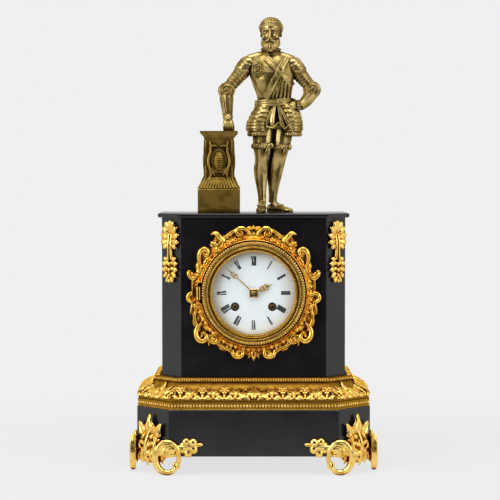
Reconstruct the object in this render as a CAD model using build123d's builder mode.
from build123d import *
import os
from math import atan2, cos, degrees, hypot, radians, sin, sqrt

# Mantel clock with a standing figure: a slate case with gilt mounts, a cast figure leaning on a
# pedestal, and a two-train pendulum movement behind a hinged, glazed bezel.
# Millimetres, +Z up, the front faces -Y. The origin is on the floor under the middle of the base.

os.makedirs("parts", exist_ok=True)

# Case
foot_height = 20
base_width = 258.6
base_depth = 150
base_height = 51
base_cant = 36
base_arris = 0.8
side_step = 27.3
front_step = 27
back_step = 5
body_cant = 22
face_below = 17.9
face_above = 6.7
front_thickness = 14
side_thickness = 12
back_thickness = 12
slab_thickness = 5.2
slab_overhang = 4.6
slab_edge = 2.2

# Gilt moulding round the foot of the body
moulding_width = 26.6
moulding_height = 32.7
moulding_band = 8.4
moulding_band_step = 1.2
moulding_neck = 6.5
moulding_bead = 5
moulding_bead_swell = 2

# Gilt feet
foot_proud = 8
ring_width = 32
ring_height = 40
ring_strap = 6.5
ring_offset = 2
ring_leaf_depth = 5
palmette_height = 32
palmette_width = 34
palmette_depth = 6
palmette_lobes = 5
corner_plate_top = 40
leg_width = 24
leg_depth = 14
spray_length = 26
spray_height = 15
spray_depth = 6
bun_radius = 13
bun_waist = 10
bun_inset = 20

# Gilt corner mounts on the canted corners of the body
mount_top_gap = 3
mount_height = 70
mount_flower = 8
mount_petal_length = 5.5
mount_petal_width = 3.6
mount_petals = 6
mount_leaf_length = 9
mount_leaf_width = 4.4
mount_stem = 4.5
mount_bud_width = 8
mount_bud_height = 11
mount_drop = 3.6
mount_depth = 3.5
mount_boss_depth = 6

# Dial, bezel and surround
dial_radius = 48
dial_thickness = 1.4
dial_stand = 2
dial_clearance = 0.2
dial_hole = 3.5
dial_foot_radius = 1.5
dial_foot_circle = 38
dial_lip = 2.2
dial_lip_thickness = 1.6
winding_hole = 4.3
panel_hole = 50
seat_wall = 1.6
seat_flange = 57.2
seat_flange_thickness = 2
seat_ledge = 41
seat_ledge_thickness = 1.5
bezel_gap = 0.2
bezel_outer = 57
bezel_sight = 45.4
bezel_edge_depth = 5.2
bezel_lip = 2.2
glass_radius = 50.4
glass_thickness = 2
glass_rise = 4
glass_seat_clearance = 0.2
slip_gap = 0.2
surround_inner = 57.4
surround_ring = 63.5
surround_reach = 75.7
surround_depth = 5
surround_boss_depth = 7.2
surround_rib = 0.45
surround_rib_rise = 1.2
volute_rim = 0.92
volute_groove = 0.62
volute_eye = 0.36
surround_notch = 8.3
surround_notch_reach = 65.4

# Hinges
hinge_pin = 1
hinge_clearance = 0.05
knuckle_radius = 2.6
knuckle_half = 3
knuckle_gap = 0.3
fixed_knuckle = 4
hinge_out = 3.5
bezel_hinge_forward = 6.3
hinge_arm = 3

# Hands
minute_length = 43.8
minute_angle = -47.5
hour_length = 23.2
hour_angle = 64.4
hand_thickness = 0.7
hand_hub = 4.2
hand_stem = 1.7
hand_tip = 0.8
hour_hand_forward = 1.5
minute_hand_forward = 3
collet_radius = 3.2
collet_height = 1.8

# Movement plates, in front to back order
plate_radius = 43
plate_thickness = 2
plate_space = 28
motion_space = 5.6
pillar_radius = 2.6
pillar_circle = 39
pillar_angles = (45, 135, 252, 288)
strap_inner = 45
strap_thickness = 3
strap_width = 8

# Wheels: tooth counts and modules
barrel_teeth = 48
barrel_module = 0.6875
great_pinion_leaves = 8
second_teeth = 48
second_module = 0.5625
centre_pinion_leaves = 8
centre_teeth = 72
centre_module = 0.36
third_pinion_leaves = 6
third_teeth = 72
third_module = 0.32
escape_pinion_leaves = 6
escape_teeth = 36
escape_radius = 7
cannon_leaves = 12
minute_teeth = 36
minute_module = 0.55
minute_pinion_leaves = 10
hour_teeth = 40
pin_teeth = 54
pin_module = 0.45
fly_pinion_leaves = 6
addendum = 0.72
dedendum = 1.15
wheel_tooth_share = 0.34
pinion_tooth_share = 0.3
wheel_thickness = 1.4
barrel_tooth_thickness = 2
wheel_crossings = 5
crossing_arm = 1.6

# Wheel places, measured right and up from the dial centre
winding_spacing = 41
winding_drop = 15.2
third_bearing = 75
fly_bearing = 99.9
hammer_left = 33
hammer_up = 8
anchor_rise = 9.9
pallet_gap = 1.5

# Arbors and fits
arbor_radius = 1.2
pivot_radius = 0.8
fine_arbor_radius = 0.55
fine_pivot_radius = 0.4
running_clearance = 0.05
shoulder_gap = 0.2
layer_gap = 1.4
barrel_drum = 15.5
barrel_end_gap = 2
winding_radius = 2
winding_square = 3.2
winding_reach = 1
ratchet_radius = 6
ratchet_teeth = 16
ratchet_thickness = 1.2
cannon_outer = 2
hour_pipe_outer = 2.9
stud_radius = 1

# Strike
strike_pins = 8
strike_pin_circle = 10
strike_pin_radius = 0.5
strike_pin_length = 2
fly_width = 12
fly_height = 9
fly_thickness = 0.8
hammer_gap = 0.5
hammer_head = 2.6
hammer_head_length = 5
hammer_arm = 2.4
bell_radius = 24
bell_depth = 20
bell_wall = 1.2
bell_drop = 6
bell_standoff = 20
bell_post = 2
bell_post_side = 16
bell_nut = 4
bell_flat = 5

# Pendulum
pendulum_stand = 13
pendulum_length = 119.8
rod_width = 2.4
bob_radius = 17
bob_thickness = 10
bob_edge = 2
suspension_drop = 3.6
suspension_gap = 0.3
cock_width = 8
cock_height = 4
crutch_drop = 12
crutch_gap = 0.3

# Back of the case
ring_inner = 44
ring_outer = 56
ring_thickness = 3
door_radius = 54
door_rim = 46
door_wall = 1.3
door_gap = 0.3
door_dome = 8.4

# Pedestal
pedestal_x = -38.5
pedestal_set_back = 31
plinth_side = 46.4
plinth_height = 26
slope_height = 9.6
shaft_side = 32.5
shaft_height = 47.7
shaft_foot = 33.5
cap_side = 41.6
cap_height = 7.5
cap_lip = 2
relief_width = 17
relief_height = 24
relief_depth = 2.2

# Figure: landmarks are measured right, back and up from the point it stands over
figure_x = 20
figure_set_back = 40
hip_height = 85
knee_share = 0.776
calf_share = 0.553
belt_rise = 37
belt_band = 4.6
belt_proud = 1.4
chest_rise = 30
shoulder_rise = 15
collar_rise = 4
neck_rise = 9
chin_rise = 8
head_height = 34.8
waist_shift = 3
chest_shift = -2.5
chest_forward = 2
collar_shift = -1
neck_shift = -0.5
left_shoulder_drop = 1
right_ankle_x = -10.3
right_ankle_y = -12
right_ankle_height = 13.5
right_toe_turn = -4
left_ankle_x = 1.5
left_ankle_y = 15
left_ankle_height = 14
left_toe_turn = 35
right_hip_x = -9.3
right_hip_y = -1
right_knee_x = -9.6
right_knee_y = -5
right_calf_x = -12.2
right_calf_y = -6
left_hip_x = 13.6
left_hip_y = 1
left_knee_x = 10.5
left_knee_y = 2
left_calf_x = 4.4
left_calf_y = 9
right_elbow_out = 25.2
right_elbow_drop = 31.3
right_elbow_back = 3
right_wrist_right = 10.2
right_wrist_back = 2
right_wrist_rise = 15.8
right_hand_forward = 3
left_elbow_out = 23.9
left_elbow_drop = 30.9
left_elbow_back = 8
left_wrist_out = 28
left_wrist_forward = 7
left_wrist_drop = 3
left_hand_out = 22.5
left_hand_forward = 10
left_hand_drop = 1
head_width = 27
head_forward = 5
neck_width = 15
waist_width = 38
waist_depth = 27
chest_width = 50
chest_depth = 35
skirt_width = 64
skirt_depth = 42
shoulder_spread = 53
shoulder_shift = -1.6
upper_arm_width = 15
forearm_width = 12.6
wrist_width = 10
elbow_cop = 17
pauldron_width = 22
hand_width = 11
thigh_width = 25
knee_width = 19
garter_width = 26
calf_width = 15.5
ankle_width = 10
shoe_width = 12
shoe_length = 30
fixing_radius = 2
fixing_clearance = 0.2
fixing_reach = 9
fixing_nut = 4
fixing_nut_height = 3

# Places worked out from the sizes above
base_top = foot_height + base_height
dial_height = base_top + moulding_height + face_below + surround_reach
body_top = dial_height + surround_reach + face_above
body_height = body_top - base_top
body_width = base_width - 2 * side_step
body_front = base_depth / 2 - front_step
body_back = base_depth / 2 - back_step
slab_top = body_top + slab_thickness
half_base = base_width / 2
half_body = body_width / 2
base_front = base_depth / 2
cant_growth = 2 - sqrt(2)
dial_face = -body_front - dial_stand
dial_back = dial_face + dial_thickness
front_plate_face = dial_back + motion_space
front_plate_back = front_plate_face + plate_thickness
back_plate_face = front_plate_back + plate_space
back_plate_back = back_plate_face + plate_thickness
pendulum_plane = back_plate_back + pendulum_stand
pedestal_y = pedestal_set_back - body_front
figure_y = figure_set_back - body_front
bezel_back = dial_face - bezel_gap
lathe_plane = Plane.XY.offset(dial_height)
dial_axis = Axis((0, 0, dial_height), (0, 1, 0))


def front_plane(depth, x=0, z=dial_height, turn=0):
    """Upright plane facing the viewer: local x to the right, local y up, extrusions come forward."""
    x_way = (cos(radians(turn)), 0, sin(radians(turn)))
    return Plane(origin=(x, depth, z), x_dir=x_way, z_dir=(0, -1, 0))


def at(place, depth, turn=0):
    """Upright plane at a wheel's place, measured right and up from the dial centre."""
    return front_plane(depth, place[0], dial_height + place[1], turn)


def dome_half(edge, rise):
    """Height of a dome half way out from its middle, for a given edge radius and rise."""
    sphere = (edge**2 + rise**2) / (2 * rise)
    return sqrt(sphere**2 - edge**2 / 4) - sphere + rise


def cant_plane(half_width, front, cant, height):
    """Upright plane on the left canted corner, local x to the right as seen from outside."""
    middle = (cant / 2 - half_width, cant / 2 - front, height)
    return Plane(origin=middle, x_dir=(1, -1, 0), z_dir=(-1, -1, 0))


def canted_plan(half_width, front, back, cant):
    """Plan of the case: a rectangle with its two front corners cut at 45 degrees."""
    with BuildSketch() as plan:
        with BuildLine():
            Polyline(
                (-half_width, back),
                (-half_width, cant - front),
                (cant - half_width, -front),
                (half_width - cant, -front),
                (half_width, cant - front),
                (half_width, back),
                close=True,
            )
        make_face()
    return plan.sketch


def keep(piece, name):
    """Label a finished piece and write it to its own file."""
    piece.part.label = name
    export_step(piece.part, f"parts/{name}.step")


def keep_mirrored(piece, name):
    """Write the mirror image of a left-hand piece as its right-hand twin."""
    with BuildPart() as twin:
        mirror(piece.part, about=Plane.YZ)
    keep(twin, name)


# Base block and case panels
with BuildPart() as base_block:
    with BuildSketch(Plane.XY.offset(foot_height)):
        add(canted_plan(half_base, base_front, base_front, base_cant))
    extrude(amount=base_height)
    chamfer(base_block.edges(), base_arris)
keep(base_block, "base_block")

panel_middle = (base_top + body_top) / 2 - dial_height
with BuildPart() as front_panel:
    with BuildSketch(front_plane(front_thickness - body_front)):
        with Locations((0, panel_middle)):
            Rectangle(body_width - 2 * body_cant, body_height)
        Circle(panel_hole, mode=Mode.SUBTRACT)
    extrude(amount=front_thickness)
keep(front_panel, "front_panel")

with BuildPart() as left_corner_post:
    with BuildSketch(Plane.XY.offset(base_top)):
        with BuildLine():
            Polyline(
                (-half_body, body_cant - body_front),
                (body_cant - half_body, -body_front),
                (body_cant - half_body, front_thickness - body_front),
                (side_thickness - half_body, body_cant - body_front),
                close=True,
            )
        make_face()
    extrude(amount=body_height)
keep(left_corner_post, "left_corner_post")
keep_mirrored(left_corner_post, "right_corner_post")

with BuildPart() as left_side_panel:
    with BuildSketch(Plane.XY.offset(base_top)):
        with Locations((-half_body, body_cant - body_front)):
            Rectangle(
                side_thickness,
                body_front + body_back - body_cant - back_thickness,
                align=(Align.MIN, Align.MIN),
            )
    extrude(amount=body_height)
keep(left_side_panel, "left_side_panel")
keep_mirrored(left_side_panel, "right_side_panel")

with BuildPart() as back_panel:
    with BuildSketch(front_plane(body_back)):
        with Locations((0, panel_middle)):
            Rectangle(body_width, body_height)
        Circle(panel_hole, mode=Mode.SUBTRACT)
    extrude(amount=back_thickness)
keep(back_panel, "back_panel")


# Figure landmarks that the slab's fixing holes share
def stand(x, y, height):
    """Point of the figure, measured right, back and up from where it stands."""
    return Vector(figure_x + x, figure_y + y, slab_top + height)


right_ankle = stand(right_ankle_x, right_ankle_y, right_ankle_height)
left_ankle = stand(left_ankle_x, left_ankle_y, left_ankle_height)
fixing_places = (
    (pedestal_x, pedestal_y),
    (right_ankle.X, right_ankle.Y),
    (left_ankle.X, left_ankle.Y),
)

with BuildPart() as top_slab:
    with BuildSketch(Plane.XY.offset(body_top)):
        add(
            canted_plan(
                half_body + slab_overhang,
                body_front + slab_overhang,
                body_back + slab_overhang,
                body_cant + slab_overhang * cant_growth,
            )
        )
    extrude(amount=slab_thickness)
    fillet(top_slab.faces().filter_by(Axis.Z).edges(), slab_edge)
    with Locations(*[(x, y, slab_top) for x, y in fixing_places]):
        Hole(fixing_radius + fixing_clearance)
keep(top_slab, "top_slab")

with BuildPart() as figure_fixings:
    with BuildSketch(Plane.XY.offset(slab_top)):
        with Locations(*fixing_places):
            Circle(fixing_radius)
    extrude(amount=-slab_thickness - fixing_reach)
    with BuildSketch(Plane.XY.offset(body_top)):
        with Locations(*fixing_places):
            RegularPolygon(fixing_nut, 6)
    extrude(amount=-fixing_nut_height)
keep(figure_fixings, "figure_fixings")


# Gilt moulding: mitred strips round the foot of the body
def moulding_run(start, end, start_cut, end_cut):
    """One strip of the moulding between two corners of the body, its ends cut by the mitre planes."""
    along = (end - start).normalized()
    outward = Vector(0, 0, 1).cross(along)
    with BuildSketch(Plane(start - along * base_depth, x_dir=outward, z_dir=along)) as profile:
        with BuildLine():
            foot = Polyline(
                (moulding_width - moulding_band_step, moulding_band),
                (moulding_width, moulding_band),
                (moulding_width, 0),
                (0, 0),
                (0, moulding_height),
                (moulding_neck, moulding_height),
            )
            bead = ThreePointArc(
                foot @ 1,
                (moulding_neck + moulding_bead_swell, moulding_height - moulding_bead / 2),
                (moulding_neck, moulding_height - moulding_bead),
            )
            Bezier(
                bead @ 1,
                (moulding_neck + moulding_bead, moulding_height / 2 - moulding_bead_swell),
                (moulding_width + moulding_bead_swell, moulding_height / 2 + moulding_bead_swell),
                foot @ 0,
            )
        make_face()
    with BuildPart() as strip:
        extrude(profile.sketch, amount=(end - start).length + 2 * base_depth)
        split(bisect_by=Plane(start, z_dir=start_cut), keep=Keep.TOP)
        split(bisect_by=Plane(end, z_dir=end_cut), keep=Keep.BOTTOM)
    return strip.part


side_back = Vector(-half_body, body_back, base_top)
side_front = Vector(-half_body, body_cant - body_front, base_top)
front_left = Vector(body_cant - half_body, -body_front, base_top)
front_right = Vector(half_body - body_cant, -body_front, base_top)
along_front = Vector(-1, 0, 0)
along_cant = Vector(-1, 1, 0).normalized()
along_side = Vector(0, 1, 0)
right_cant_way = Vector(-1, -1, 0).normalized()

with BuildPart() as front_moulding:
    add(moulding_run(front_right, front_left, right_cant_way + along_front, along_front + along_cant))
keep(front_moulding, "front_moulding")

with BuildPart() as corner_mouldings:
    add(moulding_run(front_left, side_front, along_front + along_cant, along_cant + along_side))
    mirror(about=Plane.YZ)
keep(corner_mouldings, "corner_mouldings")

with BuildPart() as side_mouldings:
    add(moulding_run(side_front, side_back, along_cant + along_side, along_side))
    mirror(about=Plane.YZ)
keep(side_mouldings, "side_mouldings")


# Gilt feet: scrolled corner castings in front, plain turned buns behind
def foot_wing(plane, way):
    """Scroll ring and leaf spray of one wing, on a face of the base with its corner at the origin."""
    with BuildSketch(plane) as ring:
        with Locations((way * ring_offset, ring_height / 2)):
            Ellipse(ring_width / 2, ring_height / 2)
            Ellipse(ring_width / 2 - ring_strap, ring_height / 2 - ring_strap, mode=Mode.SUBTRACT)
    extrude(ring.sketch, amount=foot_proud)
    with BuildSketch(plane) as leaf:
        with Locations((way * ring_offset, ring_height / 2)):
            Ellipse(ring_width / 2 - ring_strap / 2, ring_height / 2 - ring_strap / 2)
        with Locations((0, ring_height / 2)):
            Rectangle(2 * ring_width, ring_height, align=(Align.CENTER, Align.MAX), mode=Mode.SUBTRACT)
    extrude(leaf.sketch, amount=ring_leaf_depth)
    spray_start = ring_offset + ring_width / 2 - ring_strap
    with BuildSketch(plane) as spray:
        spray_up = foot_height + spray_height / 2 + ring_offset
        with Locations((way * (spray_start + spray_length / 2), spray_up)):
            Ellipse(spray_length / 2, spray_height / 2, rotation=-way * spray_height)
    extrude(spray.sketch, amount=spray_depth)


corner_run = base_cant * sqrt(2)
with BuildPart() as left_front_foot:
    with BuildSketch(cant_plane(half_base, base_front, base_cant, 0)):
        with Locations((0, foot_height)):
            Rectangle(
                corner_run, corner_plate_top - foot_height, align=(Align.CENTER, Align.MIN)
            )
        with Locations((0, corner_plate_top)):
            with PolarLocations(palmette_height / 2 - palmette_lobes, palmette_lobes, 18, 144):
                Ellipse(palmette_height / 3, palmette_width / 7)
            Circle(palmette_width / 4)
    extrude(amount=palmette_depth)
    with BuildSketch(cant_plane(half_base, base_front, base_cant, 0)):
        Rectangle(leg_width, foot_height, align=(Align.CENTER, Align.MIN))
    extrude(amount=palmette_depth)
    with BuildSketch(cant_plane(half_base, base_front, base_cant, 0)):
        Rectangle(leg_width, foot_height, align=(Align.CENTER, Align.MIN))
    extrude(amount=-leg_depth)
    foot_wing(front_plane(-base_front, base_cant - half_base, 0), 1)
    foot_wing(
        Plane((-half_base, base_cant - base_front, 0), x_dir=(0, -1, 0), z_dir=(-1, 0, 0)), -1
    )
keep(left_front_foot, "left_front_foot")
keep_mirrored(left_front_foot, "right_front_foot")

with BuildPart() as rear_feet:
    bun_x = half_base - bun_inset
    bun_y = base_front - bun_inset
    with BuildSketch(Plane((-bun_x, bun_y, 0), x_dir=(1, 0, 0), z_dir=(0, -1, 0))):
        with BuildLine():
            bun = Polyline(
                (bun_waist, 0), (0, 0), (0, foot_height), (bun_waist, foot_height)
            )
            ThreePointArc(bun @ 1, (bun_radius, foot_height / 2), bun @ 0)
        make_face()
    revolve(axis=Axis((-bun_x, bun_y, 0), (0, 0, 1)))
    mirror(about=Plane.YZ)
keep(rear_feet, "rear_feet")

# Gilt corner mounts: a flower, a pair of leaves, a stem and a hanging bud
mount_top = body_top - mount_top_gap
flower_up = mount_height - mount_flower - mount_petal_length
leaf_up = flower_up - mount_flower - mount_leaf_width
bud_up = mount_drop + mount_bud_height
with BuildPart() as left_corner_mount:
    mount_plane = cant_plane(half_body, body_front, body_cant, mount_top - mount_height)
    with BuildSketch(mount_plane):
        with Locations((0, flower_up)):
            Circle(mount_flower)
            with PolarLocations(mount_flower, mount_petals, 90):
                Ellipse(mount_petal_length, mount_petal_width)
        with Locations((mount_leaf_width, leaf_up)):
            Ellipse(mount_leaf_length, mount_leaf_width, rotation=mount_petals * mount_petals)
        with Locations((-mount_leaf_width, leaf_up)):
            Ellipse(mount_leaf_length, mount_leaf_width, rotation=-mount_petals * mount_petals)
        with Locations((0, bud_up)):
            Rectangle(mount_stem, flower_up - bud_up, align=(Align.CENTER, Align.MIN))
            Ellipse(mount_bud_width, mount_bud_height)
        with Locations((0, mount_drop)):
            Circle(mount_drop)
    extrude(amount=mount_depth)
    with BuildSketch(mount_plane):
        with Locations((0, flower_up)):
            Circle(mount_flower / 2)
        with Locations((0, bud_up)):
            Ellipse(mount_bud_width / 2, mount_bud_height / 2)
    extrude(amount=mount_boss_depth)
keep(left_corner_mount, "left_corner_mount")
keep_mirrored(left_corner_mount, "right_corner_mount")


# Gilt surround: a ring with volutes and pointed leaves, laid out right and up in shares of its reach
def leaf(root, tip, width):
    """Pointed leaf of two arcs from its root to its tip."""
    way = tip - root
    middle = (root + tip) * 0.5
    swell = Vector(-way.Y, way.X).normalized() * (width / 2)
    with BuildSketch() as blade:
        with BuildLine():
            ThreePointArc(root, middle + swell, tip)
            ThreePointArc(tip, middle - swell, root)
        make_face()
    return blade.sketch


surround_volutes = (
    (0.189, 0.878, 0.092),
    (0.746, 0.542, 0.112),
    (0.938, 0.264, 0.055),
    (0.931, -0.073, 0.066),
    (0.806, -0.608, 0.122),
    (0.594, -0.667, 0.077),
    (0.231, -0.878, 0.092),
)
surround_leaves = (
    ((0.026, 0.74), (0.112, 0.985), 0.079),
    ((0.238, 0.925), (0.542, 0.687), 0.119),
    ((0.42, 0.69), (0.645, 0.878), 0.099),
    ((0.528, 0.661), (0.661, 0.742), 0.073),
    ((0.775, 0.455), (0.872, 0.172), 0.106),
    ((0.885, 0.264), (0.892, -0.079), 0.092),
    ((0.898, -0.079), (0.942, -0.312), 0.073),
    ((0.878, -0.185), (0.859, -0.52), 0.106),
    ((0.7, -0.568), (0.69, -0.774), 0.079),
    ((0.528, -0.647), (0.51, -0.83), 0.066),
    ((0.575, -0.72), (0.264, -0.892), 0.106),
    ((0.026, -0.76), (0.099, -0.938), 0.079),
)
surround_middle_leaves = (
    ((0, 0.74), (0, 1), 0.106),
    ((0, -0.74), (0, -1), 0.106),
)


def surround_leaf(side, root, tip, width):
    """Ends and width of one leaf on the right (1) or the left (-1)."""
    ends = [Vector(side * right, rise) * surround_reach for right, rise in (root, tip)]
    return (*ends, width * surround_reach)


volutes = []
leaves = [surround_leaf(1, *shares) for shares in surround_middle_leaves]
for side in (-1, 1):
    for right, rise, size in surround_volutes:
        volutes.append((Vector(side * right, rise) * surround_reach, size * surround_reach))
    for shares in surround_leaves:
        leaves.append(surround_leaf(side, *shares))

with BuildPart() as dial_surround:
    with BuildSketch(front_plane(-body_front)) as ground:
        Circle(surround_ring)
        for place, size in volutes:
            with Locations(place):
                Circle(size)
        for root, tip, width in leaves:
            add(leaf(root, tip, width))
        Circle(surround_inner, mode=Mode.SUBTRACT)
        with Locations((-surround_inner, 0)):
            Rectangle(2 * (surround_notch_reach - surround_inner), 2 * surround_notch, mode=Mode.SUBTRACT)
    extrude(amount=surround_depth)
    with BuildSketch(front_plane(-body_front - surround_depth)) as ribs:
        for root, tip, width in leaves:
            add(leaf(root, tip, width * surround_rib))
        Circle(surround_ring, mode=Mode.SUBTRACT)
        add(ground.sketch_local, mode=Mode.INTERSECT)
    extrude(amount=surround_rib_rise)
    with BuildSketch(front_plane(-body_front)) as curls:
        for place, size in volutes:
            with Locations(place):
                Circle(size * volute_rim)
                Circle(size * volute_groove, mode=Mode.SUBTRACT)
        for place, size in volutes:
            with Locations(place):
                Circle(size * volute_eye)
        add(ground.sketch_local, mode=Mode.INTERSECT)
    extrude(amount=surround_boss_depth)
keep(dial_surround, "dial_surround")

# Bezel seat: the pan that holds the dial, the movement and the fixed half of the bezel's hinge
hinge_x = -bezel_outer - hinge_out
hinge_y = bezel_back - bezel_hinge_forward
knuckle_start = knuckle_half + knuckle_gap
seat_bore = dial_radius + dial_clearance
seat_sleeve = seat_bore + seat_wall
with BuildPart() as bezel_seat:
    with BuildSketch(lathe_plane):
        with BuildLine():
            Polyline(
                (seat_bore, dial_face),
                (seat_flange, dial_face),
                (seat_flange, -body_front),
                (seat_sleeve, -body_front),
                (seat_sleeve, front_plate_face),
                (seat_ledge, front_plate_face),
                (seat_ledge, front_plate_face - seat_ledge_thickness),
                (seat_bore, front_plate_face - seat_ledge_thickness),
                (seat_bore, dial_back + dial_lip_thickness),
                (seat_bore - dial_lip, dial_back + dial_lip_thickness),
                (seat_bore - dial_lip, dial_back),
                (seat_bore, dial_back),
                close=True,
            )
        make_face()
    revolve(axis=dial_axis)
    for side in (-1, 1):
        lug_z = dial_height + side * (knuckle_start + fixed_knuckle / 2)
        with BuildSketch(Plane.XY.offset(lug_z - fixed_knuckle / 2)):
            with Locations((hinge_x, hinge_y)):
                Circle(knuckle_radius)
            with Locations((hinge_x, hinge_y)):
                Rectangle(
                    2 * knuckle_radius, -body_front - hinge_y, align=(Align.CENTER, Align.MIN)
                )
            with Locations((hinge_x, -body_front)):
                Rectangle(2 * hinge_out, seat_flange_thickness, align=(Align.MIN, Align.MAX))
            with Locations((hinge_x, hinge_y)):
                Circle(hinge_pin + hinge_clearance, mode=Mode.SUBTRACT)
        extrude(amount=fixed_knuckle)
keep(bezel_seat, "bezel_seat")

with BuildPart() as dial:
    with BuildSketch(front_plane(dial_back)):
        Circle(dial_radius)
        Circle(dial_hole, mode=Mode.SUBTRACT)
        with Locations((winding_spacing / 2, -winding_drop), (-winding_spacing / 2, -winding_drop)):
            Circle(winding_hole, mode=Mode.SUBTRACT)
    extrude(amount=dial_thickness)
    with BuildSketch(front_plane(front_plate_face)):
        with PolarLocations(dial_foot_circle, 3, 90):
            Circle(dial_foot_radius)
    extrude(amount=motion_space)
keep(dial, "dial")

# Bezel: a hinged ring, its domed glass and the slip that holds the glass from behind
glass_back = bezel_back - slip_gap - bezel_edge_depth + glass_thickness / 2
glass_front = glass_back - glass_thickness
bezel_front = glass_front - bezel_lip
bezel_bore = glass_radius + glass_seat_clearance
with BuildPart() as bezel_ring:
    with BuildSketch(lathe_plane):
        with BuildLine():
            ring_back = Polyline(
                (bezel_sight, bezel_front + bezel_lip / 2),
                (bezel_sight, glass_front),
                (bezel_bore, glass_front),
                (bezel_bore, bezel_back),
                (bezel_outer, bezel_back),
                (bezel_outer, bezel_back - bezel_edge_depth),
            )
            outer_roll = ThreePointArc(
                ring_back @ 1,
                (bezel_outer - bezel_lip / 2, bezel_front + bezel_lip / 2),
                (bezel_outer - 2 * bezel_lip, bezel_front),
            )
            Polyline(
                outer_roll @ 1,
                (bezel_sight + bezel_lip, bezel_front + bezel_lip / 4),
                ring_back @ 0,
            )
        make_face()
    revolve(axis=dial_axis)
    with BuildSketch(Plane.XY.offset(dial_height - knuckle_half)):
        with Locations((hinge_x, hinge_y)):
            Circle(knuckle_radius)
            Rectangle(hinge_out + hinge_arm, hinge_arm, align=(Align.MIN, Align.CENTER))
            Circle(hinge_pin + hinge_clearance, mode=Mode.SUBTRACT)
    extrude(amount=2 * knuckle_half)
keep(bezel_ring, "bezel_ring")

with BuildPart() as bezel_glass:
    with BuildSketch(lathe_plane):
        with BuildLine():
            rim = Polyline(
                (bezel_sight, glass_front),
                (glass_radius, glass_front),
                (glass_radius, glass_back),
                (bezel_sight, glass_back),
            )
            inside = ThreePointArc(
                rim @ 1,
                (bezel_sight / 2, glass_back - dome_half(bezel_sight, glass_rise)),
                (0, glass_back - glass_rise),
            )
            middle = Line(inside @ 1, (0, glass_front - glass_rise))
            ThreePointArc(
                middle @ 1,
                (bezel_sight / 2, glass_front - dome_half(bezel_sight, glass_rise)),
                rim @ 0,
            )
        make_face()
    revolve(axis=dial_axis)
keep(bezel_glass, "bezel_glass")

with BuildPart() as bezel_slip:
    with BuildSketch(front_plane(bezel_back - slip_gap)):
        Circle(glass_radius)
        Circle(bezel_sight, mode=Mode.SUBTRACT)
    extrude(amount=bezel_back - slip_gap - glass_back)
keep(bezel_slip, "bezel_slip")

# Back of the case: a brass ring, a domed door on a hinge, and both hinge pins
door_back = body_back + ring_thickness + door_gap
door_hinge_x = ring_outer + hinge_out
door_hinge_y = body_back + ring_thickness + knuckle_radius / 2
with BuildPart() as back_ring:
    with BuildSketch(front_plane(body_back + ring_thickness)):
        Circle(ring_outer)
        Circle(ring_inner, mode=Mode.SUBTRACT)
    extrude(amount=ring_thickness)
    for side in (-1, 1):
        lug_z = dial_height + side * (knuckle_start + fixed_knuckle / 2)
        with BuildSketch(Plane.XY.offset(lug_z - fixed_knuckle / 2)):
            with Locations((door_hinge_x, body_back)):
                Rectangle(
                    2 * knuckle_radius, door_hinge_y - body_back, align=(Align.CENTER, Align.MIN)
                )
                Rectangle(2 * hinge_out, ring_thickness, align=(Align.MAX, Align.MIN))
            with Locations((door_hinge_x, door_hinge_y)):
                Circle(knuckle_radius)
                Circle(hinge_pin + hinge_clearance, mode=Mode.SUBTRACT)
        extrude(amount=fixed_knuckle)
keep(back_ring, "back_ring")

door_inside = door_rim - door_wall
with BuildPart() as back_door:
    with BuildSketch(lathe_plane):
        with BuildLine():
            flange = Polyline(
                (door_inside, door_back),
                (door_radius, door_back),
                (door_radius, door_back + door_wall),
                (door_rim, door_back + door_wall),
            )
            outside = ThreePointArc(
                flange @ 1,
                (door_rim / 2, door_back + door_wall + dome_half(door_rim, door_dome)),
                (0, door_back + door_wall + door_dome),
            )
            crown = Line(outside @ 1, (0, door_back + door_dome))
            ThreePointArc(
                crown @ 1,
                (door_inside / 2, door_back + dome_half(door_inside, door_dome)),
                flange @ 0,
            )
        make_face()
    revolve(axis=dial_axis)
    with BuildSketch(Plane.XY.offset(dial_height - knuckle_half)):
        with Locations((door_hinge_x, door_hinge_y)):
            Circle(knuckle_radius)
        with Locations((door_hinge_x, door_back)):
            Rectangle(
                hinge_out + ring_outer - door_rim, door_wall, align=(Align.MAX, Align.MIN)
            )
        with Locations((door_hinge_x, door_hinge_y)):
            Circle(hinge_pin + hinge_clearance, mode=Mode.SUBTRACT)
    extrude(amount=2 * knuckle_half)
keep(back_door, "back_door")

with BuildPart() as hinge_pins:
    with BuildSketch(Plane.XY.offset(dial_height - knuckle_start - fixed_knuckle)):
        with Locations((hinge_x, hinge_y), (door_hinge_x, door_hinge_y)):
            Circle(hinge_pin)
    extrude(amount=2 * (knuckle_start + fixed_knuckle))
keep(hinge_pins, "hinge_pins")


# Wheel places: each arbor stands where its wheel and its pinion meet at their pitch circles
def pitch_radius(teeth, module):
    return teeth * module / 2


def meeting_point(first, first_reach, second, second_reach):
    """Upper point at two given distances from two places."""
    apart = hypot(second[0] - first[0], second[1] - first[1])
    along = (first_reach**2 - second_reach**2 + apart**2) / (2 * apart)
    across = sqrt(first_reach**2 - along**2)
    way = ((second[0] - first[0]) / apart, (second[1] - first[1]) / apart)
    return (
        first[0] + along * way[0] + across * abs(way[1]),
        first[1] + along * way[1] + across * abs(way[0]),
    )


def towards(start, finish):
    """Direction in degrees from one place to another, as the viewer sees it."""
    return degrees(atan2(finish[1] - start[1], finish[0] - start[0]))


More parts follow.
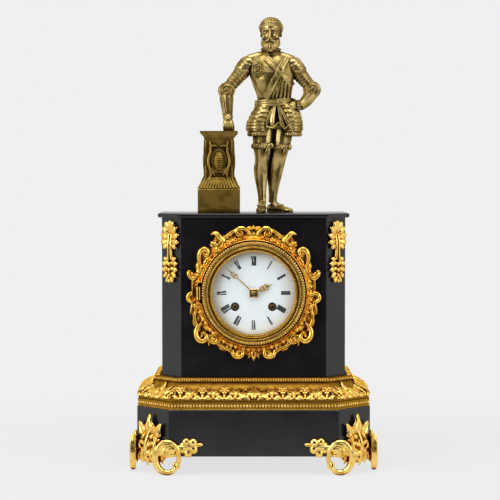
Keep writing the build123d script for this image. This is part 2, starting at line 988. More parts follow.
centre = (0, 0)
going_barrel_place = (winding_spacing / 2, -winding_drop)
strike_barrel_place = (-winding_spacing / 2, -winding_drop)
second_reach = pitch_radius(barrel_teeth + great_pinion_leaves, barrel_module)
centre_reach = pitch_radius(second_teeth + centre_pinion_leaves, second_module)
second_place = meeting_point(centre, centre_reach, going_barrel_place, second_reach)
pin_place = (-second_place[0], second_place[1])
third_reach = pitch_radius(centre_teeth + third_pinion_leaves, centre_module)
third_place = (third_reach * cos(radians(third_bearing)), third_reach * sin(radians(third_bearing)))
escape_reach = pitch_radius(third_teeth + escape_pinion_leaves, third_module)
escape_place = (0, third_place[1] + sqrt(escape_reach**2 - third_place[0] ** 2))
anchor_place = (0, escape_place[1] + anchor_rise)
fly_reach = pitch_radius(pin_teeth + fly_pinion_leaves, pin_module)
fly_place = (
    pin_place[0] + fly_reach * cos(radians(fly_bearing)),
    pin_place[1] + fly_reach * sin(radians(fly_bearing)),
)
hammer_place = (-hammer_left, hammer_up)
minute_reach = pitch_radius(cannon_leaves + minute_teeth, minute_module)
minute_place = (0, -minute_reach)
hour_module = 2 * minute_reach / (minute_pinion_leaves + hour_teeth)

# Wheel layers, by the depth of each layer's back
centre_layer = front_plate_back + layer_gap / 2 + wheel_thickness
third_layer = centre_layer + layer_gap + wheel_thickness
second_layer = third_layer + layer_gap + wheel_thickness
barrel_layer = second_layer + strike_pin_length + shoulder_gap * 2 + barrel_tooth_thickness
drum_back = back_plate_face - barrel_end_gap
escape_layer = back_plate_face - layer_gap
cannon_layer = front_plate_face - layer_gap / 2
hour_layer = cannon_layer - wheel_thickness - layer_gap / 2


def toothed(place, depth, thickness, teeth, module, turn, share):
    """Wheel or pinion with pointed teeth, one of them at the angle turn, added to the piece."""
    root = pitch_radius(teeth, module) - dedendum * module
    tip = pitch_radius(teeth, module) + addendum * module
    corners = []
    for tooth in range(teeth):
        for radius, offset in ((root, -share), (tip, 0), (root, share)):
            angle = radians(turn + (tooth + offset) * 360 / teeth)
            corners.append((radius * cos(angle), radius * sin(angle)))
    with BuildSketch(at(place, depth)) as face:
        with BuildLine():
            Polyline(*corners, close=True)
        make_face()
    extrude(face.sketch, amount=thickness)


def wheel(place, depth, teeth, module, turn, thickness=wheel_thickness):
    toothed(place, depth, thickness, teeth, module, turn, wheel_tooth_share)


def pinion(place, depth, length, leaves, module, driver):
    """Pinion with a gap between two leaves facing the wheel that drives it."""
    turn = towards(place, driver) + 180 / leaves
    toothed(place, depth, length, leaves, module, turn, pinion_tooth_share)


def crossings(place, depth, teeth, module, hub):
    """Windows that leave a wheel with straight arms between its hub and its rim."""
    rim = pitch_radius(teeth, module) - 2.5 * dedendum * module
    half_turn = radians(180 / wheel_crossings)
    hub_half = hub * sin(half_turn) - crossing_arm / 2
    rim_half = rim * sin(half_turn) - crossing_arm / 2
    with BuildSketch() as window:
        with BuildLine():
            Polyline(
                (hub * cos(half_turn), -hub_half),
                (rim * cos(half_turn), -rim_half),
                (rim * cos(half_turn), rim_half),
                (hub * cos(half_turn), hub_half),
                close=True,
            )
        make_face()
    with BuildSketch(at(place, depth)) as windows:
        with PolarLocations(0, wheel_crossings):
            add(window.sketch)
    extrude(windows.sketch, amount=wheel_thickness, mode=Mode.SUBTRACT)


def rod(place, radius, back, front, mode=Mode.ADD):
    """Round bar between two depths, added to the piece or bored out of it."""
    with BuildSketch(at(place, back)) as section:
        Circle(radius)
    extrude(section.sketch, amount=back - front, mode=mode)


def arbor(place, radius=arbor_radius, pivot=pivot_radius):
    """Arbor with shoulders between the plates and thinner pivots in them."""
    rod(place, pivot, back_plate_back, front_plate_face)
    rod(place, radius, back_plate_face - shoulder_gap, front_plate_back + shoulder_gap)


def fine_arbor(place):
    """Thinner arbor for the quick wheels at the end of a train."""
    arbor(place, fine_arbor_radius, fine_pivot_radius)


pivot_places = (second_place, pin_place)
fine_places = (third_place, escape_place, fly_place)
barrel_places = (going_barrel_place, strike_barrel_place)
pillar_places = [
    (pillar_circle * cos(radians(angle)), pillar_circle * sin(radians(angle))) for angle in pillar_angles
]

# Plates, pillars and the straps that draw the movement to the back ring
with BuildPart() as front_plate:
    rod(centre, plate_radius, front_plate_back, front_plate_face)
    for place in (*pivot_places, hammer_place, anchor_place):
        rod(place, pivot_radius + running_clearance, front_plate_back, front_plate_face, Mode.SUBTRACT)
    for place in fine_places:
        rod(place, fine_pivot_radius + running_clearance, front_plate_back, front_plate_face, Mode.SUBTRACT)
    rod(centre, arbor_radius + running_clearance, front_plate_back, front_plate_face, Mode.SUBTRACT)
    for place in barrel_places:
        rod(place, winding_radius + running_clearance, front_plate_back, front_plate_face, Mode.SUBTRACT)
    rod(minute_place, stud_radius, front_plate_face, hour_layer - wheel_thickness)
keep(front_plate, "front_plate")

with BuildPart() as back_plate:
    rod(centre, plate_radius, back_plate_back, back_plate_face)
    for place in (*pivot_places, centre):
        rod(place, pivot_radius + running_clearance, back_plate_back, back_plate_face, Mode.SUBTRACT)
    for place in fine_places:
        rod(place, fine_pivot_radius + running_clearance, back_plate_back, back_plate_face, Mode.SUBTRACT)
    for place in (hammer_place, anchor_place):
        rod(place, arbor_radius + running_clearance, back_plate_back, back_plate_face, Mode.SUBTRACT)
    for place in barrel_places:
        rod(place, arbor_radius + running_clearance, back_plate_back, back_plate_face, Mode.SUBTRACT)
keep(back_plate, "back_plate")

with BuildPart() as plate_pillars:
    for place in pillar_places:
        rod(place, pillar_radius, back_plate_face, front_plate_back)
keep(plate_pillars, "plate_pillars")

with BuildPart() as movement_straps:
    with BuildSketch(front_plane(body_back)):
        for side in (-1, 1):
            with Locations((side * (strap_inner + strap_thickness / 2), 0)):
                Rectangle(strap_thickness, strap_width)
    extrude(amount=body_back - front_plate_face)
keep(movement_straps, "movement_straps")


# Barrels on their winding arbors
def barrel(place, driven):
    rod(place, barrel_drum, drum_back, barrel_layer)
    turn = towards(place, driven)
    wheel(place, barrel_layer, barrel_teeth, barrel_module, turn, barrel_tooth_thickness)
    bore = winding_radius + running_clearance
    rod(place, bore, drum_back, barrel_layer - barrel_tooth_thickness, Mode.SUBTRACT)


def winding_arbor(place):
    rod(place, winding_radius, back_plate_face - shoulder_gap, front_plate_face - ratchet_thickness * 2)
    rod(place, arbor_radius, back_plate_back, back_plate_face - shoulder_gap)
    with BuildSketch(at(place, front_plate_face - ratchet_thickness * 2)) as square:
        Rectangle(winding_square, winding_square)
    extrude(square.sketch, amount=front_plate_face - ratchet_thickness * 2 - dial_face + winding_reach)
    with BuildSketch(at(place, front_plate_face - shoulder_gap)) as ratchet:
        Circle(ratchet_radius - 1)
        with PolarLocations(ratchet_radius - 1, ratchet_teeth):
            Triangle(a=2, b=1.4, C=90)
    extrude(ratchet.sketch, amount=ratchet_thickness)


with BuildPart() as going_barrel:
    barrel(going_barrel_place, second_place)
keep(going_barrel, "going_barrel")

with BuildPart() as strike_barrel:
    barrel(strike_barrel_place, pin_place)
keep(strike_barrel, "strike_barrel")

with BuildPart() as going_winding_arbor:
    winding_arbor(going_barrel_place)
keep(going_winding_arbor, "going_winding_arbor")

with BuildPart() as strike_winding_arbor:
    winding_arbor(strike_barrel_place)
keep(strike_winding_arbor, "strike_winding_arbor")

# Going train from the second wheel to the escape wheel
leaf_length = barrel_tooth_thickness + 2 * shoulder_gap
with BuildPart() as second_wheel:
    arbor(second_place)
    wheel(second_place, second_layer, second_teeth, second_module, towards(second_place, centre))
    crossings(second_place, second_layer, second_teeth, second_module, hub=2 * winding_radius)
    pinion(
        second_place,
        barrel_layer + shoulder_gap,
        leaf_length,
        great_pinion_leaves,
        barrel_module,
        going_barrel_place,
    )
keep(second_wheel, "second_wheel")

train_leaf_length = wheel_thickness + 2 * shoulder_gap
with BuildPart() as centre_wheel:
    rod(centre, pivot_radius, back_plate_back, back_plate_face - shoulder_gap)
    hand_end = dial_face - minute_hand_forward - 2 * collet_height
    rod(centre, arbor_radius, back_plate_face - shoulder_gap, hand_end)
    wheel(centre, centre_layer, centre_teeth, centre_module, towards(centre, third_place))
    crossings(centre, centre_layer, centre_teeth, centre_module, hub=2 * winding_radius)
    pinion(
        centre,
        second_layer + shoulder_gap,
        train_leaf_length,
        centre_pinion_leaves,
        second_module,
        second_place,
    )
keep(centre_wheel, "centre_wheel")

with BuildPart() as third_wheel:
    fine_arbor(third_place)
    wheel(third_place, third_layer, third_teeth, third_module, towards(third_place, escape_place))
    crossings(third_place, third_layer, third_teeth, third_module, hub=2 * winding_radius)
    pinion(
        third_place,
        centre_layer + shoulder_gap,
        train_leaf_length,
        third_pinion_leaves,
        centre_module,
        centre,
    )
keep(third_wheel, "third_wheel")


def bearing(angle, radius):
    """Point at a clockwise angle from twelve o'clock."""
    return (radius * sin(radians(angle)), radius * cos(radians(angle)))


with BuildPart() as escape_wheel:
    fine_arbor(escape_place)
    pinion(
        escape_place,
        third_layer + shoulder_gap,
        train_leaf_length,
        escape_pinion_leaves,
        third_module,
        third_place,
    )
    tooth_foot = escape_radius * 0.84
    tooth_turn = 360 / escape_teeth
    teeth = []
    for tooth in range(escape_teeth):
        teeth.append(bearing(tooth * tooth_turn, tooth_foot))
        teeth.append(bearing((tooth + 0.2) * tooth_turn, escape_radius))
    with BuildSketch(at(escape_place, escape_layer)):
        with BuildLine():
            Polyline(*teeth, close=True)
        make_face()
    extrude(amount=wheel_thickness)
keep(escape_wheel, "escape_wheel")

# Motion work under the dial
minute_hand_back = dial_face - minute_hand_forward
hour_hand_back = dial_face - hour_hand_forward
with BuildPart() as cannon_pinion:
    rod(centre, cannon_outer, cannon_layer, minute_hand_back - hand_thickness)
    pinion(centre, cannon_layer, wheel_thickness, cannon_leaves, minute_module, minute_place)
    rod(
        centre,
        arbor_radius + running_clearance,
        cannon_layer,
        minute_hand_back - hand_thickness,
        Mode.SUBTRACT,
    )
keep(cannon_pinion, "cannon_pinion")

with BuildPart() as minute_wheel:
    wheel(minute_place, cannon_layer, minute_teeth, minute_module, 90)
    crossings(minute_place, cannon_layer, minute_teeth, minute_module, hub=2 * winding_radius)
    pinion(
        minute_place,
        hour_layer,
        wheel_thickness,
        minute_pinion_leaves,
        hour_module,
        centre,
    )
    rod(minute_place, arbor_radius + stud_radius / 2, cannon_layer - wheel_thickness, hour_layer)
    rod(
        minute_place,
        stud_radius + running_clearance,
        cannon_layer,
        hour_layer - wheel_thickness,
        Mode.SUBTRACT,
    )
keep(minute_wheel, "minute_wheel")

with BuildPart() as hour_wheel:
    wheel(centre, hour_layer, hour_teeth, hour_module, -90)
    crossings(centre, hour_layer, hour_teeth, hour_module, hub=2 * winding_radius)
    rod(centre, hour_pipe_outer, hour_layer, hour_hand_back - hand_thickness)
    rod(
        centre,
        cannon_outer + running_clearance,
        hour_layer,
        hour_hand_back - hand_thickness,
        Mode.SUBTRACT,
    )
keep(hour_wheel, "hour_wheel")


# Pierced hands: a stem, an open leaf-shaped ring and a tapered point
def pierced_hand(depth, angle, length, bore):
    plane = front_plane(depth, turn=-angle)
    ring_long = length / 5
    ring_wide = length / 11
    ring_up = length * 0.52
    with BuildSketch(plane) as blade:
        Circle(hand_hub)
        with Locations((0, 0)):
            Rectangle(hand_stem, ring_up, align=(Align.CENTER, Align.MIN))
        with Locations((0, ring_up)):
            Ellipse(ring_wide, ring_long)
        with BuildLine():
            Polyline(
                (-hand_stem, ring_up + ring_long * 0.8),
                (-hand_tip / 2, length),
                (hand_tip / 2, length),
                (hand_stem, ring_up + ring_long * 0.8),
                close=True,
            )
        make_face()
        with Locations((0, ring_up)):
            Ellipse(ring_wide - hand_tip, ring_long - hand_stem, mode=Mode.SUBTRACT)
        Circle(bore, mode=Mode.SUBTRACT)
    extrude(blade.sketch, amount=hand_thickness)


with BuildPart() as hour_hand:
    pierced_hand(hour_hand_back, hour_angle, hour_length, hour_pipe_outer)
keep(hour_hand, "hour_hand")

with BuildPart() as minute_hand:
    pierced_hand(minute_hand_back, minute_angle, minute_length, cannon_outer)
    collet_back = minute_hand_back - hand_thickness
    collet_bore = arbor_radius + running_clearance
    with BuildSketch(lathe_plane):
        with BuildLine():
            collet = Polyline(
                (collet_bore, collet_back - collet_height),
                (collet_bore, collet_back),
                (collet_radius, collet_back),
            )
            ThreePointArc(
                collet @ 1,
                (collet_radius * 0.8, collet_back - collet_height * 0.7),
                collet @ 0,
            )
        make_face()
    revolve(axis=dial_axis)
keep(minute_hand, "minute_hand")

# Escapement: anchor with its crutch, the suspension cock and the pendulum
pallet_clear = escape_radius + pallet_gap
axis_height = dial_height + anchor_place[1]
with BuildPart() as pallet_anchor:
    rod(anchor_place, pivot_radius, front_plate_back, front_plate_face)
    rod(anchor_place, arbor_radius, pendulum_plane - rod_width, front_plate_back + shoulder_gap)
    rod(anchor_place, pivot_radius, front_plate_back + shoulder_gap, front_plate_back)
    with BuildSketch(at(anchor_place, escape_layer)):
        Circle(2 * arbor_radius)
        for side in (-1, 1):
            pallet_x = side * pallet_clear * sin(radians(60))
            pallet_y = pallet_clear * cos(radians(60)) - anchor_rise
            with BuildLine():
                Polyline(
                    (0, arbor_radius),
                    (pallet_x + side * arbor_radius, pallet_y + arbor_radius),
                    (pallet_x, pallet_y),
                    (0, -arbor_radius),
                    close=True,
                )
            make_face()
    extrude(amount=wheel_thickness)
    with BuildSketch(at(anchor_place, pendulum_plane - rod_width)):
        Circle(2 * arbor_radius)
        with Locations((rod_width / 2 + crutch_gap + arbor_radius / 2, 0)):
            Rectangle(arbor_radius, crutch_drop, align=(Align.CENTER, Align.MAX))
    extrude(amount=arbor_radius)
    with BuildSketch(front_plane(pendulum_plane + rod_width, 0, axis_height - crutch_drop)):
        for side in (-1, 1):
            with Locations((side * (rod_width / 2 + crutch_gap + arbor_radius / 2), 0)):
                Rectangle(arbor_radius, arbor_radius, align=(Align.CENTER, Align.MIN))
    extrude(amount=2 * rod_width)
    with BuildSketch(at(anchor_place, pendulum_plane - rod_width)):
        with Locations((0, -crutch_drop)):
            Rectangle(
                rod_width + 2 * crutch_gap + 2 * arbor_radius, arbor_radius, align=(Align.CENTER, Align.MIN)
            )
    extrude(amount=arbor_radius)
keep(pallet_anchor, "pallet_anchor")

cock_foot = axis_height + suspension_drop
with BuildPart() as suspension_cock:
    with BuildSketch(front_plane(pendulum_plane + cock_height, 0, cock_foot)):
        Rectangle(cock_width, cock_height, align=(Align.CENTER, Align.MIN))
    extrude(amount=pendulum_plane + cock_height - back_plate_back)
keep(suspension_cock, "suspension_cock")

bob_height = axis_height - pendulum_length
with BuildPart() as pendulum_rod:
    with BuildSketch(front_plane(pendulum_plane + rod_width / 2, 0, cock_foot - suspension_gap)):
        Rectangle(
            rod_width,
            cock_foot - suspension_gap - bob_height - bob_radius,
            align=(Align.CENTER, Align.MAX),
        )
    extrude(amount=rod_width)
keep(pendulum_rod, "pendulum_rod")

bob_swell = (bob_thickness - bob_edge) / 2
bob_shoulder = bob_edge / 2 + dome_half(bob_radius, bob_swell)
with BuildPart() as pendulum_bob:
    with BuildSketch(Plane.XY.offset(bob_height)):
        with BuildLine():
            spine = Line((0, pendulum_plane + bob_thickness / 2), (0, pendulum_plane - bob_thickness / 2))
            front_curve = ThreePointArc(
                spine @ 1,
                (bob_radius / 2, pendulum_plane - bob_shoulder),
                (bob_radius, pendulum_plane - bob_edge / 2),
            )
            edge = Line(front_curve @ 1, (bob_radius, pendulum_plane + bob_edge / 2))
            ThreePointArc(edge @ 1, (bob_radius / 2, pendulum_plane + bob_shoulder), spine @ 0)
        make_face()
    revolve(axis=Axis((0, 0, bob_height), (0, 1, 0)))
keep(pendulum_bob, "pendulum_bob")

# Strike train, hammer and bell
with BuildPart() as pin_wheel:
    arbor(pin_place)
    wheel(pin_place, second_layer, pin_teeth, pin_module, towards(pin_place, fly_place))
    crossings(pin_place, second_layer, pin_teeth, pin_module, hub=2 * winding_radius)
    pinion(
        pin_place,
        barrel_layer + shoulder_gap,
        leaf_length,
        great_pinion_leaves,
        barrel_module,
        strike_barrel_place,
    )
    with BuildSketch(at(pin_place, second_layer + strike_pin_length)):
        with PolarLocations(strike_pin_circle, strike_pins):
            Circle(strike_pin_radius)
    extrude(amount=strike_pin_length)
keep(pin_wheel, "pin_wheel")

with BuildPart() as fly:
    fine_arbor(fly_place)
    pinion(
        fly_place,
        second_layer + shoulder_gap,
        train_leaf_length,
        fly_pinion_leaves,
        pin_module,
        pin_place,
    )
    with BuildSketch(at(fly_place, drum_back)):
        Rectangle(fly_width, fly_thickness, rotation=30)
    extrude(amount=fly_height)
keep(fly, "fly")

bell_rim = back_plate_back + bell_standoff
bell_crown = bell_rim + bell_depth
bell_place = (0, -bell_drop)
hammer_face = bell_rim + hammer_head_length
with BuildPart() as hammer:
    rod(hammer_place, pivot_radius, front_plate_back + shoulder_gap, front_plate_face)
    rod(hammer_place, arbor_radius, hammer_face, front_plate_back + shoulder_gap)
    tail_way = towards(hammer_place, pin_place)
    tail_room = hypot(pin_place[0] - hammer_place[0], pin_place[1] - hammer_place[1])
    tail_length = tail_room - strike_pin_circle - strike_pin_radius - shoulder_gap * 2
    with BuildSketch(at(hammer_place, second_layer + strike_pin_length - shoulder_gap, tail_way)):
        Rectangle(tail_length, 2 * arbor_radius, align=(Align.MIN, Align.CENTER))
        Circle(2 * arbor_radius)
    extrude(amount=strike_pin_length - 2 * shoulder_gap)
    head_x = -bell_radius - hammer_gap - hammer_head - hammer_place[0]
    head_y = bell_place[1] - hammer_place[1]
    with BuildSketch(at(hammer_place, hammer_face, degrees(atan2(head_y, head_x)))):
        Rectangle(hypot(head_x, head_y), hammer_arm, align=(Align.MIN, Align.CENTER))
        Circle(hammer_arm)
    extrude(amount=hammer_arm)
    with BuildSketch(at((hammer_place[0] + head_x, bell_place[1]), hammer_face)):
        Circle(hammer_head)
    extrude(amount=hammer_head_length)
keep(hammer, "hammer")

bell_axis = Axis((0, 0, dial_height - bell_drop), (0, 1, 0))
bell_curve = bell_radius - bell_flat
bell_shoulder = (bell_radius, bell_crown - bell_curve)
bell_inside = (
    bell_flat + (bell_curve - bell_wall) * sin(radians(45)),
    bell_crown - bell_curve + (bell_curve - bell_wall) * cos(radians(45)),
)
with BuildPart() as bell:
    with BuildSketch(Plane.XY.offset(dial_height - bell_drop)):
        with BuildLine():
            crown_flat = Polyline(
                (bell_flat, bell_crown - bell_wall),
                (bell_post + running_clearance, bell_crown - bell_wall),
                (bell_post + running_clearance, bell_crown),
                (bell_flat, bell_crown),
            )
            outer = TangentArc(crown_flat @ 1, bell_shoulder, tangent=(1, 0))
            skirt = Polyline(
                outer @ 1,
                (bell_radius, bell_rim),
                (bell_radius - bell_wall, bell_rim),
                (bell_shoulder[0] - bell_wall, bell_shoulder[1]),
            )
            ThreePointArc(skirt @ 1, bell_inside, crown_flat @ 0)
        make_face()
    revolve(axis=bell_axis)
keep(bell, "bell")

with BuildPart() as bell_stand:
    elbow_depth = (bell_rim + bell_crown) / 2 - bell_post
    rod((bell_post_side, -bell_drop), bell_post, elbow_depth, back_plate_back)
    with BuildSketch(at(bell_place, elbow_depth)):
        with Locations((-bell_post, 0)):
            Rectangle(bell_post_side + 2 * bell_post, 2 * bell_post, align=(Align.MIN, Align.CENTER))
    extrude(amount=2 * bell_post)
    rod(bell_place, 1.6 * bell_post, bell_crown - bell_wall, elbow_depth)
    rod(bell_place, bell_post, bell_crown + 2 * bell_post, bell_crown - bell_wall)
    rod(bell_place, bell_nut, bell_crown + bell_post, bell_crown)
keep(bell_stand, "bell_stand")

# Pedestal: plinth, shaft with an oval relief, and moulded cap
pedestal_top = slab_top + plinth_height + slope_height + shaft_height + cap_height
with BuildPart() as pedestal:
    pedestal_floor = Plane((pedestal_x, pedestal_y, slab_top))
    with BuildSketch(pedestal_floor):
        Rectangle(plinth_side, plinth_side)
    extrude(amount=plinth_height)
    with BuildSketch(pedestal_floor.offset(plinth_height)):
        Rectangle(plinth_side, plinth_side)
    with BuildSketch(pedestal_floor.offset(plinth_height + slope_height)):
        Rectangle(shaft_foot, shaft_foot)
    loft()
    with BuildSketch(pedestal_floor.offset(plinth_height + slope_height)):
        Rectangle(shaft_side, shaft_side)
    extrude(amount=shaft_height)
    shaft_top = plinth_height + slope_height + shaft_height
    lip_height = shaft_top + cap_height - cap_lip
    with BuildSketch(pedestal_floor.offset(shaft_top)):
        Rectangle(shaft_side, shaft_side)
    with BuildSketch(pedestal_floor.offset(lip_height)):
        Rectangle(cap_side, cap_side)
    loft()
    with BuildSketch(pedestal_floor.offset(lip_height)):
        Rectangle(cap_side, cap_side)
    extrude(amount=cap_lip)
    relief_z = slab_top + plinth_height + slope_height + shaft_height / 2
    with BuildSketch(front_plane(pedestal_y - shaft_side / 2, pedestal_x, relief_z)):
        Ellipse(relief_width / 2, relief_height / 2)
        with Locations((0, -relief_height / 2)):
            Rectangle(relief_width, relief_height / 4)
    extrude(amount=relief_depth)
keep(pedestal, "pedestal")


# Figure: separately cast pieces, each a smooth run of oval sections between named landmarks
def oval_face(plane, half_across, half_deep):
    """Oval of two half arcs that start on the plane's x axis."""
    with BuildSketch(plane) as section:
        with BuildLine():
            EllipticalCenterArc((0, 0), half_across, half_deep, start_angle=0, arc_size=180)
            EllipticalCenterArc((0, 0), half_across, half_deep, start_angle=180, arc_size=180)
        make_face()
    return section.sketch


def oval(centre, across, deep, way):
    """Oval section square to the way that a limb runs, wide to the side and deep to the front."""
    return oval_face(Plane(centre, x_dir=Vector(0, 1, 0).cross(way), z_dir=way), across / 2, deep / 2)


def between(start, end, share):
    return start + (end - start) * share


def run(start, end, stations):
    """Smooth limb from start to end through stations of share along it, width and depth."""
    way = (end - start).normalized()
    loft([oval(between(start, end, share), across, deep, way) for share, across, deep in stations])


def ball(centre, radius):
    with BuildSketch(Plane(centre, x_dir=(1, 0, 0), z_dir=(0, -1, 0))) as disc:
        Circle(radius)
        Rectangle(2 * radius, 4 * radius, align=(Align.MAX, Align.CENTER), mode=Mode.SUBTRACT)
    revolve(disc.sketch, axis=Axis(centre, (0, 0, 1)))


up = Vector(0, 0, 1)
belt_height = hip_height + belt_rise
chest_height = belt_height + chest_rise
shoulder_height = chest_height + shoulder_rise
neck_height = shoulder_height + neck_rise
chin_height = neck_height + chin_rise
head_top = chin_height + head_height
waist = stand(waist_shift, 0, belt_height)
chest = stand(chest_shift, -chest_forward, chest_height)
collar = stand(collar_shift, 0, shoulder_height + collar_rise)
neck = stand(neck_shift, 0, neck_height)
right_shoulder = stand(shoulder_shift - shoulder_spread / 2, 0, shoulder_height)
left_shoulder = stand(shoulder_shift + shoulder_spread / 2, 0, shoulder_height - left_shoulder_drop)

with BuildPart() as figure_torso:
    loft(
        [
            oval(waist, waist_width, waist_depth, up),
            oval(between(waist, chest, 0.45), waist_width * 1.12, waist_depth * 1.12, up),
            oval(chest, chest_width, chest_depth, up),
            oval(between(chest, collar, 0.6), chest_width * 0.94, chest_depth * 0.82, up),
            oval(collar, chest_width * 0.6, chest_depth * 0.58, up),
            oval(neck, neck_width * 1.25, neck_width * 1.2, up),
        ]
    )
    belt_edge = waist + up * belt_band
    run(
        waist,
        belt_edge,
        (
            (0, waist_width + belt_proud, waist_depth + belt_proud),
            (0.5, waist_width + 2 * belt_proud, waist_depth + 2 * belt_proud),
            (1, waist_width + belt_proud, waist_depth + belt_proud),
        ),
    )
keep(figure_torso, "figure_torso")

skull = head_height / 2
with BuildPart() as figure_head:
    chin = stand(neck_shift, -head_forward, chin_height)
    crown_point = stand(neck_shift, -head_forward, head_top)
    run(
        chin,
        crown_point,
        (
            (0, head_width * 0.5, head_width * 0.55),
            (0.3, head_width * 0.86, head_width * 0.98),
            (0.6, head_width, head_width * 1.16),
            (0.85, head_width * 0.84, head_width),
            (1, head_width * 0.3, head_width * 0.36),
        ),
    )
    run(
        neck,
        stand(neck_shift, -head_forward / 2, chin_height + skull / 2),
        ((0, neck_width, neck_width), (0.5, neck_width * 0.95, neck_width), (1, neck_width, neck_width)),
    )
    run(
        stand(neck_shift, -head_forward - head_width * 0.34, chin_height - head_width * 0.13),
        stand(neck_shift, -head_forward - head_width * 0.3, chin_height + skull / 2),
        (
            (0, head_width * 0.22, head_width * 0.2),
            (0.5, head_width * 0.5, head_width * 0.36),
            (1, head_width * 0.62, head_width * 0.4),
        ),
    )
    run(
        stand(neck_shift, -head_forward - head_width * 0.55, head_top - skull * 1.16),
        stand(neck_shift, -head_forward - head_width * 0.5, head_top - skull * 0.76),
        ((0, head_width * 0.15, head_width * 0.16), (1, head_width * 0.07, head_width * 0.1)),
    )
    add(figure_torso.part, mode=Mode.SUBTRACT)
keep(figure_head, "figure_head")

skirt_hem = stand(waist_shift, 0, hip_height)
with BuildPart() as figure_tassets:
    run(
        skirt_hem,
        waist,
        (
            (0, skirt_width, skirt_depth),
            (0.2, skirt_width, skirt_depth),
            (0.5, skirt_width * 0.93, skirt_depth * 0.96),
            (0.8, skirt_width * 0.74, skirt_depth * 0.8),
            (1, waist_width, waist_depth),
        ),
    )
keep(figure_tassets, "figure_tassets")


def limb(stations):
    """Smooth limb through stations of point, width and depth, each square to the run at its point."""
    points = [point for point, across, deep in stations]
    faces = []
    for index, (point, across, deep) in enumerate(stations):
        before = points[max(index - 1, 0)]
        after = points[min(index + 1, len(points) - 1)]
        faces.append(oval(point, across, deep, (after - before).normalized()))
    loft(faces)


def leg(hip, knee, calf, ankle):
    """Thigh, calf and ankle of one leg, with a garter band above the knee."""
    limb(
        (
            (hip + (hip - knee) * 0.1, thigh_width, thigh_width * 1.1),
            (between(hip, knee, 0.4), thigh_width * 0.97, thigh_width),
            (knee, knee_width, knee_width * 1.04),
            (between(knee, calf, 0.5), calf_width * 1.1, calf_width * 1.16),
            (calf, calf_width, calf_width * 1.14),
            (between(calf, ankle, 0.55), calf_width * 0.82, calf_width * 0.88),
            (ankle, ankle_width, ankle_width * 1.1),
            (Vector(ankle.X, ankle.Y, slab_top + ankle_width * 0.4), ankle_width, ankle_width * 1.2),
        )
    )
    limb(
        (
            (between(hip, knee, 0.5), garter_width, garter_width * 1.04),
            (between(hip, knee, 0.74), garter_width * 0.95, garter_width),
        )
    )


def shoe(ankle, turn):
    """Low shoe on the slab, its toe turned outwards from straight ahead."""
    toe_way = Vector(sin(radians(turn)), -cos(radians(turn)), 0)
    floor = Vector(ankle.X, ankle.Y, slab_top)
    across_way = Vector(0, 0, 1).cross(toe_way)
    stations = (
        (-0.28, 0.7, 0.55),
        (-0.1, 0.84, 0.95),
        (0.25, 0.95, 0.7),
        (0.55, 1, 0.48),
        (0.72, 0.6, 0.3),
    )
    faces = []
    for share, wide, tall in stations:
        centre = floor + toe_way * (share * shoe_length)
        plane = Plane(centre, x_dir=across_way, z_dir=toe_way)
        faces.append(oval_face(plane, shoe_width * wide / 2, shoe_width * tall))
    loft(faces)


right_hip = stand(right_hip_x, right_hip_y, hip_height)
right_knee = stand(right_knee_x, right_knee_y, hip_height * knee_share)
right_calf = stand(right_calf_x, right_calf_y, hip_height * calf_share)
left_hip = stand(left_hip_x, left_hip_y, hip_height)
left_knee = stand(left_knee_x, left_knee_y, hip_height * knee_share)
left_calf = stand(left_calf_x, left_calf_y, hip_height * calf_share)
with BuildPart() as figure_right_leg:
    leg(right_hip, right_knee, right_calf, right_ankle)
    shoe(right_ankle, right_toe_turn)
    split(bisect_by=Plane.XY.offset(slab_top), keep=Keep.TOP)
    split(bisect_by=Plane.XY.offset(slab_top + hip_height), keep=Keep.BOTTOM)
keep(figure_right_leg, "figure_right_leg")

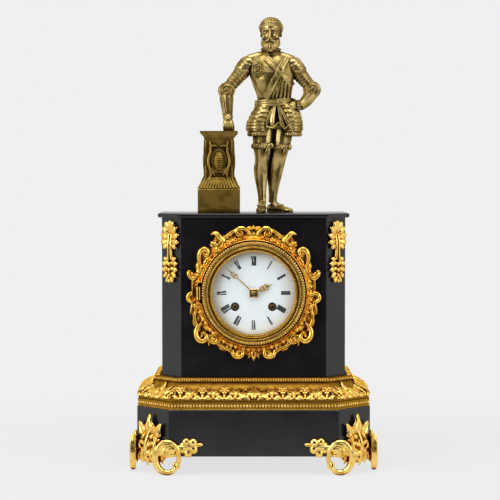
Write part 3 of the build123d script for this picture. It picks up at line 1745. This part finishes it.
with BuildPart() as figure_left_leg:
    leg(left_hip, left_knee, left_calf, left_ankle)
    shoe(left_ankle, left_toe_turn)
    split(bisect_by=Plane.XY.offset(slab_top), keep=Keep.TOP)
    split(bisect_by=Plane.XY.offset(slab_top + hip_height), keep=Keep.BOTTOM)
    add(figure_right_leg.part, mode=Mode.SUBTRACT)
keep(figure_left_leg, "figure_left_leg")


def arm(shoulder, elbow, wrist):
    """Plated arm: pauldron, upper arm, round elbow cop and forearm."""
    ball(shoulder, pauldron_width / 2)
    upper = upper_arm_width
    run(
        shoulder,
        elbow,
        ((0, upper * 1.2, upper * 1.2), (0.5, upper, upper * 1.05), (1, upper * 0.86, upper * 0.9)),
    )
    ball(elbow, elbow_cop / 2)
    lower = forearm_width
    run(
        elbow,
        wrist,
        ((0, lower, lower), (0.4, lower, lower * 1.05), (1, wrist_width, wrist_width)),
    )


right_elbow = right_shoulder + Vector(-right_elbow_out, right_elbow_back, -right_elbow_drop)
right_wrist = Vector(
    pedestal_x + right_wrist_right,
    pedestal_y + right_wrist_back,
    pedestal_top + right_wrist_rise,
)
right_hand = Vector(right_wrist.X, right_wrist.Y - right_hand_forward, pedestal_top + hand_width * 0.4)
with BuildPart() as figure_right_arm:
    arm(right_shoulder, right_elbow, right_wrist)
    run(
        right_wrist,
        right_hand,
        (
            (0, wrist_width, wrist_width),
            (0.6, hand_width, hand_width * 1.2),
            (1, hand_width * 0.9, hand_width * 1.4),
        ),
    )
    ball(right_hand, hand_width * 0.6)
    add(figure_torso.part, mode=Mode.SUBTRACT)
    add(pedestal.part, mode=Mode.SUBTRACT)
keep(figure_right_arm, "figure_right_arm")

left_elbow = left_shoulder + Vector(left_elbow_out, left_elbow_back, -left_elbow_drop)
left_wrist = waist + Vector(left_wrist_out, -left_wrist_forward, -left_wrist_drop)
left_hand = waist + Vector(left_hand_out, -left_hand_forward, -left_hand_drop)
with BuildPart() as figure_left_arm:
    arm(left_shoulder, left_elbow, left_wrist)
    ball(left_hand, hand_width * 0.55)
    run(left_wrist, left_hand, ((0, wrist_width, wrist_width), (1, hand_width, hand_width)))
    add(figure_torso.part, mode=Mode.SUBTRACT)
    add(figure_tassets.part, mode=Mode.SUBTRACT)
keep(figure_left_arm, "figure_left_arm")
